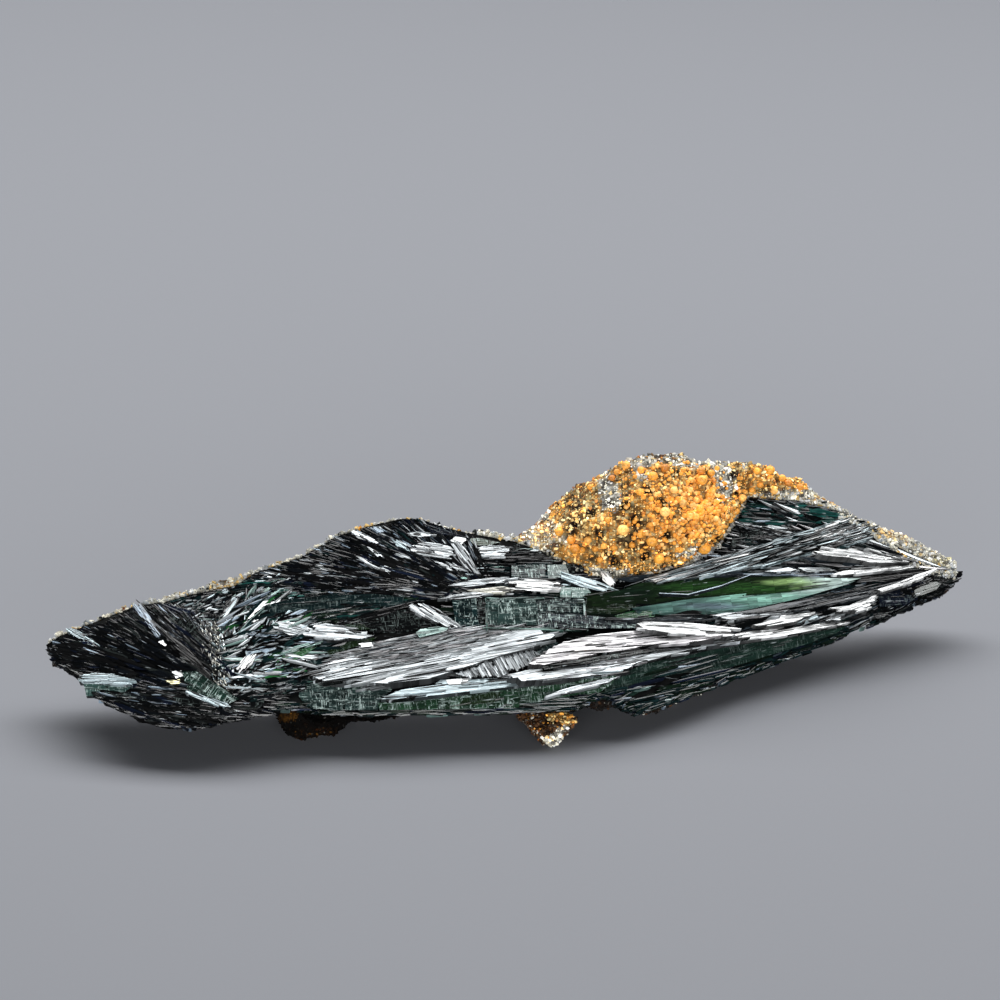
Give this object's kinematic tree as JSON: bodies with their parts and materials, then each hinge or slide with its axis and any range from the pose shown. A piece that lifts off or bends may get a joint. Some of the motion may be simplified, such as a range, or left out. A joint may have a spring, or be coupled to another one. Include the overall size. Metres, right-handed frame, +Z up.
{
  "type": "vivianite mineral specimen",
  "caption": "Plate of dark green bladed vivianite crystals on brown nodular matrix, with an orange nodular lump on its back edge; lies on three matrix feet.",
  "frame": {"origin": "middle of the specimen's box, on the surface it lies on", "axes": "+X along the specimen to its right tip, +Y back from the display face, +Z up"},
  "size_m": [0.1236, 0.0485, 0.0305],
  "materials": {
    "vivianite": "glassy to pearly cleavage, dark bottle green",
    "matrix": "dull, nodular, orange brown with pale grey crust",
    "dark_matrix": "dull, rough, dark brown with rusty spots"
  },
  "bodies": {
    "root": {"vivianite_crystals": "vivianite", "nodular_matrix": "matrix", "left_foot": "dark_matrix", "middle_foot": "dark_matrix"}
  },
  "joints": []
}
